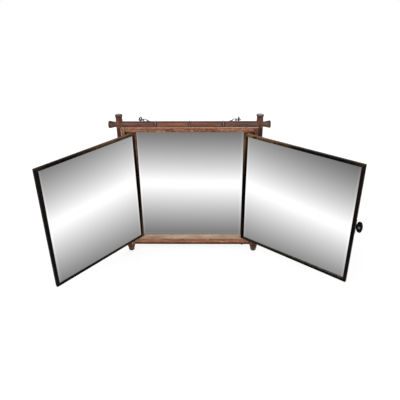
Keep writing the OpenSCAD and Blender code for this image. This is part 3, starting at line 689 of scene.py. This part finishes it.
def turned(name, outline, place, seed):
    """A turned piece, not quite round: outline holds (height, radius) pairs in millimetres, and place puts
    its axis in the model."""
    bm = bmesh.new()
    rings = []
    for height, radius in cut_finer(outline):
        ring = []
        for k in range(TURNED_SIDES):
            angle = 2 * math.pi * k / TURNED_SIDES
            flat = Vector((math.cos(angle), math.sin(angle), 0))
            low = noise.noise(Vector((flat.x * 0.8, flat.y * 0.8, height * 0.035 + seed)))
            fine = noise.noise(Vector((flat.x * 2.5, flat.y * 2.5, height * 0.16 + seed * 3)))
            r = radius - WOBBLE * (0.5 + 0.5 * low) * 1.2 + WOBBLE * 0.35 * fine
            ring.append(bm.verts.new(place @ (Vector((flat.x * r, flat.y * r, height)) * MM)))
        rings.append(ring)
    for lower, upper in zip(rings, rings[1:]):
        for k in range(TURNED_SIDES):
            following = (k + 1) % TURNED_SIDES
            bm.faces.new((lower[k], lower[following], upper[following], upper[k]))
    bm.faces.new(list(reversed(rings[0])))
    bm.faces.new(rings[-1])
    bmesh.ops.recalc_face_normals(bm, faces=bm.faces)
    return show(name, bm, crease=32)


def cap_end(end, radius):
    """The last points of a turning: an eased rim and a slightly hollow face."""
    rim = [(end - back, radius - less) for back, less in CAP_RIM]
    return rim + [(end - back, face_r) for back, face_r in CAP_FACE]


def post_outline():
    """From the foot up: a rounded tip, a belly, a groove below the case, the long straight and the cap."""
    foot, case, rail, top = (z / MM for z in (POST_FOOT, CASE_LOW, RAIL_TOP, POST_TOP))
    cap = top - CAP_H
    turns = [math.pi / 2 * i / 6 for i in range(7)]
    tip = [(foot + TIP_ROUND * (1 - math.cos(a)), TIP_R - TIP_ROUND * (1 - math.sin(a))) for a in turns]
    groove_low, groove_high, shoulder = (case - under for under in GROOVE_UNDER_CASE)
    belly = curve((foot + TIP_H, TIP_R), (foot + BELLY_LOW, BELLY_R))
    belly += curve((foot + BELLY_HIGH, BELLY_R), (groove_low, GROOVE_R))
    straight = [(groove_high, GROOVE_R), (shoulder, POST_R)]
    neck_low, neck_high = (cap - under for under in NECK_UNDER_CAP)
    neck = curve((rail - NECK_START, POST_R), (neck_low, NECK_R))
    neck += curve((neck_high, NECK_R), (cap, CAP_R - 0.3))
    return tip + belly + straight + neck + cap_end(top, CAP_R)


def rail_outline():
    """From end to end, with one knuckle in the middle and one on each side, made as a half and mirrored."""
    post, end = POST_X / MM, RAIL_END / MM
    stub = post + POST_R
    knuckle = [(gone, RAIL_R + rise) for gone, rise in KNUCKLE]
    half = [(0.0, RAIL_R + KNUCKLE_H)] + knuckle
    half += [(KNUCKLE_STEP - gone, radius) for gone, radius in reversed(knuckle)]
    half += [(KNUCKLE_STEP + gone, radius) for gone, radius in knuckle]
    half += curve((post - POST_R, RAIL_R), (stub, STUB_R))
    half += curve((stub + 1, STUB_R), (end - CAP_H, CAP_R - 0.2))
    half += cap_end(end, CAP_R)
    return [(-gone, radius) for gone, radius in reversed(half[1:])] + half


def post_stain(side, sign):
    f = cane_wood(f"{side}_post_stain", "z", 4.0 + sign, POST_TINTS[side])
    f.grooves(f.z, [CASE_LOW - 2 * MM, POST_TOP - 3.2 * MM], 1.3 * MM)
    f.worn_end(f.z, POST_TOP - 2.6 * MM, POST_TOP - 0.6 * MM, tone(88, 70, 60), tone(138, 116, 100))
    # Painted shade on the post below its crossing with the rail, from the case's top down to its foot.
    below = f.fade(f.z, CASE_TOP + 2 * MM, CASE_TOP - 5 * MM, 0.0, 0.88)
    above_foot = f.fade(f.z, CASE_LOW, CASE_LOW + 20 * MM)
    f.cover(f.calc("MULTIPLY", below, above_foot), tone(*SHADE_BELOW_CROSSING[side]))
    rim = f.fade(f.away(f.x, sign * POST_X, f.y, CANE_Y), 3.6 * MM, 5.8 * MM, 0.0, 0.94)
    face = f.fade(f.z, POST_TOP - 1.4 * MM, POST_TOP - 0.9 * MM)
    f.cover(f.calc("MULTIPLY", rim, face), tone(34, 23, 19))
    f.worn_end(f.z, POST_FOOT + 5 * MM, POST_FOOT + 1 * MM, tone(62, 42, 32), tone(96, 70, 54))
    return f


def make_posts():
    for side, sign in SIDES.items():
        place = Matrix.Translation((sign * POST_X, CANE_Y, 0))
        piece = turned(f"{side}_post_turning", post_outline(), place, seed=3.1 + sign)
        dress(piece, post_stain(side, sign))
        stand_for(piece, f"post_{side}")


def make_rail():
    axis_z = RAIL_TOP - CAP_R * MM
    place = Matrix.Translation((0, CANE_Y, axis_z)) @ Matrix.Rotation(math.pi / 2, 4, "Y")
    piece = turned("rail_turning", rail_outline(), place, seed=9.4)
    f = cane_wood("rail_stain", "x", 7.7, RAIL_TINTS)
    high = f.calc("SUBTRACT", f.z, axis_z)
    # Painted shade on the rail's underside.
    f.cover(f.fade(high, -2.6 * MM, -5.0 * MM, 0.0, 0.45), tone(78, 56, 36))
    f.cover(f.fade(high, 4.2 * MM, 5.8 * MM, 0.0, 0.9), tone(52, 40, 38))
    for k in (-1, 0, 1):
        lines = [(k * KNUCKLE_STEP + sign * 2.6) * MM for sign in (-1, 1)]
        f.grooves(f.x, lines, 1.9 * MM, 0.85 if k else 0.45)
        if k:
            # A painted highlight on each raised knuckle ring, strongest on its upper side.
            ring = f.near(f.x, k * KNUCKLE_STEP * MM, 1.8 * MM)
            lit = f.fade(high, -2.0 * MM, 1.5 * MM, 0.15, 0.9)
            f.cover(f.calc("MULTIPLY", ring, lit), tone(124, 98, 96))
    for sign in (-1, 1):
        f.grooves(f.x, [sign * (RAIL_END - 3.6 * MM)], 1.2 * MM)
        f.worn_end(f.x, sign * (RAIL_END - 3.0 * MM), sign * (RAIL_END - 1.6 * MM))
    dress(piece, f)
    stand_for(piece, "rail")


def side_board_stain(side, arrises, tint, hold):
    """A side board, darkened with painted shade and dull along the arris where it meets the recess."""
    f = case_wood(f"{side}_board_stain", "z", 9.2 + SIDES[side], arrises, tint, hold)
    # Painted shade where the board meets the recess; the same mask takes away the gloss there.
    recess_shade = f.near(f.x, SIDES[side] * INNER_X, 0.9 * MM)
    f.cover(recess_shade, tone(70, 32, 26))
    f.set("Specular IOR Level", f.calc("MULTIPLY", f.calc("SUBTRACT", 1.0, recess_shade), BOARD_GLOSS))
    return f


def make_case():
    front_top = ({"y": FRONT_Y, "z": CASE_TOP}, 1.3)
    ledge_front = ({"y": FRONT_Y, "z": LEDGE_Z}, 1.1)
    left_outer = ({"x": -OUTER_X, "y": FRONT_Y}, 1.8)
    top = case_wood("top_board_stain", "x", 1.3, [front_top])
    worked("case_top", "top_board", 0.7, top, uneven=("x", 1))
    bottom = case_wood("bottom_board_stain", "x", 6.1, [ledge_front], tone(182, 124, 86), 0.45, ledge=True)
    worked("case_bottom", "bottom_board", 0.6, bottom, uneven=("x", 2))
    left = side_board_stain("left", [left_outer, front_top], tone(192, 150, 122), 0.62)
    worked("case_left", "left_board", 0.6, left, uneven=("z", 2))
    right = side_board_stain("right", [front_top], tone(96, 64, 50), 0.8)
    worked("case_right", "right_board", 0.6, right, uneven=("z", 4))
    worked("back_panel", "back_board", 0.5, raw_pine("back_pine", 2.0), crease=12)
    dress(nodes["centre_backing"], paperboard("centre_board", 1.0))


def make_wings():
    for side, seed in (("left", 3.0), ("right", 4.0)):
        for place in ("top", "bottom", "outer"):
            bronze = edging_bronze(side, place)
            worked(f"{side}_{place}_edging", f"{side}_{place}_channel", 0.55, bronze, shortest=3.0)
        worked(f"{side}_hinge_stile", f"{side}_hinge_tube", 0.25, tube_bronze(side), shortest=30.0)
        dress(nodes[f"{side}_backing"], paperboard(f"{side}_board", seed))


def make_catch():
    iron = plain_metal("catch_iron", tone(2, 2, 2), tone(10, 9, 9), 1.0, 0.0)
    worked("catch_lug", "catch_plate", 0.35, iron, shortest=1.0)
    worked("turn_button", "catch_button", 0.45, iron, shortest=0.5)
    worked("keeper", "keeper_strap", 0.35, iron, shortest=1.0)
    dress(nodes["lug_rivets"], iron)


def make_fittings():
    steel = plain_metal("nail_steel", tone(52, 44, 46), tone(112, 98, 98), 2.0, 0.7)
    bright = plain_metal("rivet_steel", tone(84, 78, 72), tone(150, 142, 132), 3.0, 0.4)
    brass = plain_metal("pin_brass", tone(62, 44, 24), tone(118, 90, 50), 4.0, 0.5)
    chain = plain_metal("chain_iron", tone(12, 9, 9), tone(44, 34, 37), 5.0, 0.0)
    rusted = plain_metal("rusted_steel", tone(38, 25, 20), tone(74, 54, 44), 6.0, 0.0)
    for metal, members in ((bright, ("button_rivet",)),
                           (steel, ("keeper_screws", "panel_nails", "case_nails")),
                           (rusted, ("post_nails", "rail_nails", "cross_pins")),
                           (brass, ("hinge_pins", "hinge_washers")),
                           (chain, ("screw_eyes", "end_links", "chain_links"))):
        for node in members:
            dress(nodes[node], metal)


def make_glasses():
    for place, light in PAINTED_GLASS_LIGHT.items():
        node = f"{place}_mirror"
        hinge = HINGE.get(place)
        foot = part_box(f"{place}_bottom_edging")[1].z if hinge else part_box(node)[0].z + PAINTED_FOOT_HIGHLIGHT * MM
        dress(nodes[node], SilverWithPaintedLight(f"{node}_silver", hinge, foot, **light))


# Floor, world and lamps

def make_floor():
    """A pale floor that keeps the object's shadow and fades to white. The mirrors see it plain white."""
    bm = bmesh.new()
    level = cad_box[0].z - FLOOR_GAP * MM
    corners = ((-1, -1), (1, -1), (1, 1), (-1, 1))
    bm.faces.new([bm.verts.new((x * FLOOR_HALF, y * FLOOR_HALF, level)) for x, y in corners])
    floor = show("floor", bm)
    paper = Finish("floor_paper", Roughness=0.9, Specular_IOR_Level=0.0)
    to_camera, to_mirror = paper.rays()
    whiter = paper.fade(paper.from_origin(), 0.5, 1.8, 0.78, 1.0)
    paper.set("Emission Color", grey(1.0))
    paper.set("Emission Strength", paper.calc("ADD", paper.calc("MULTIPLY", to_camera, whiter), to_mirror))
    seen = paper.calc("MAXIMUM", to_camera, to_mirror)
    paper.set("Base Color", paper.mix(to_mirror, paper.mix(seen, grey(0.8), grey(0.3)), grey(0.0)))
    dress(floor, paper)
    floor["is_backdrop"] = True


def make_world():
    """Even light from all sides, which the camera and the mirrors see as white."""
    world = bpy.data.worlds.new("studio")
    bpy.context.scene.world = world
    world.use_nodes = True
    sky = NodeTree(world.node_tree)
    background = sky.tree.nodes["Background"]
    seen = sky.calc("MAXIMUM", *sky.rays())
    strength = sky.tree.nodes.new("ShaderNodeMapRange")
    sky.feed(strength.inputs["Value"], seen)
    sky.feed(strength.inputs["To Min"], 0.45)
    sky.feed(strength.inputs["To Max"], 1.0)
    sky.feed(background.inputs["Color"], grey(1.0))
    sky.feed(background.inputs["Strength"], strength.outputs["Result"])


def area_lamp(name, place, size, power):
    """A round lamp aimed at the model's origin. Lengths are in metres, power in watts."""
    data = bpy.data.lights.new(name, "AREA")
    data.shape = "DISK"
    data.size = size
    data.energy = power
    lamp = bpy.data.objects.new(name, data)
    lamp.location = place
    lamp.rotation_euler = (-Vector(place)).to_track_quat("-Z", "Y").to_euler()
    bpy.context.scene.collection.objects.link(lamp)


def make_lamps():
    area_lamp("key", (-0.9, -1.3, 1.8), 1.6, 26)
    area_lamp("fill", (1.4, -1.5, 0.9), 1.4, 10)
    area_lamp("back", (0.6, 1.8, 1.2), 1.6, 16)


bpy.context.scene.view_settings.view_transform = "Standard"
make_camera()
make_case()
make_posts()
make_rail()
make_wings()
make_catch()
make_fittings()
make_glasses()
make_floor()
make_world()
make_lamps()

# The photograph's glasses show nothing of the mirror itself
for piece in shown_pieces():
    piece.visible_glossy = False
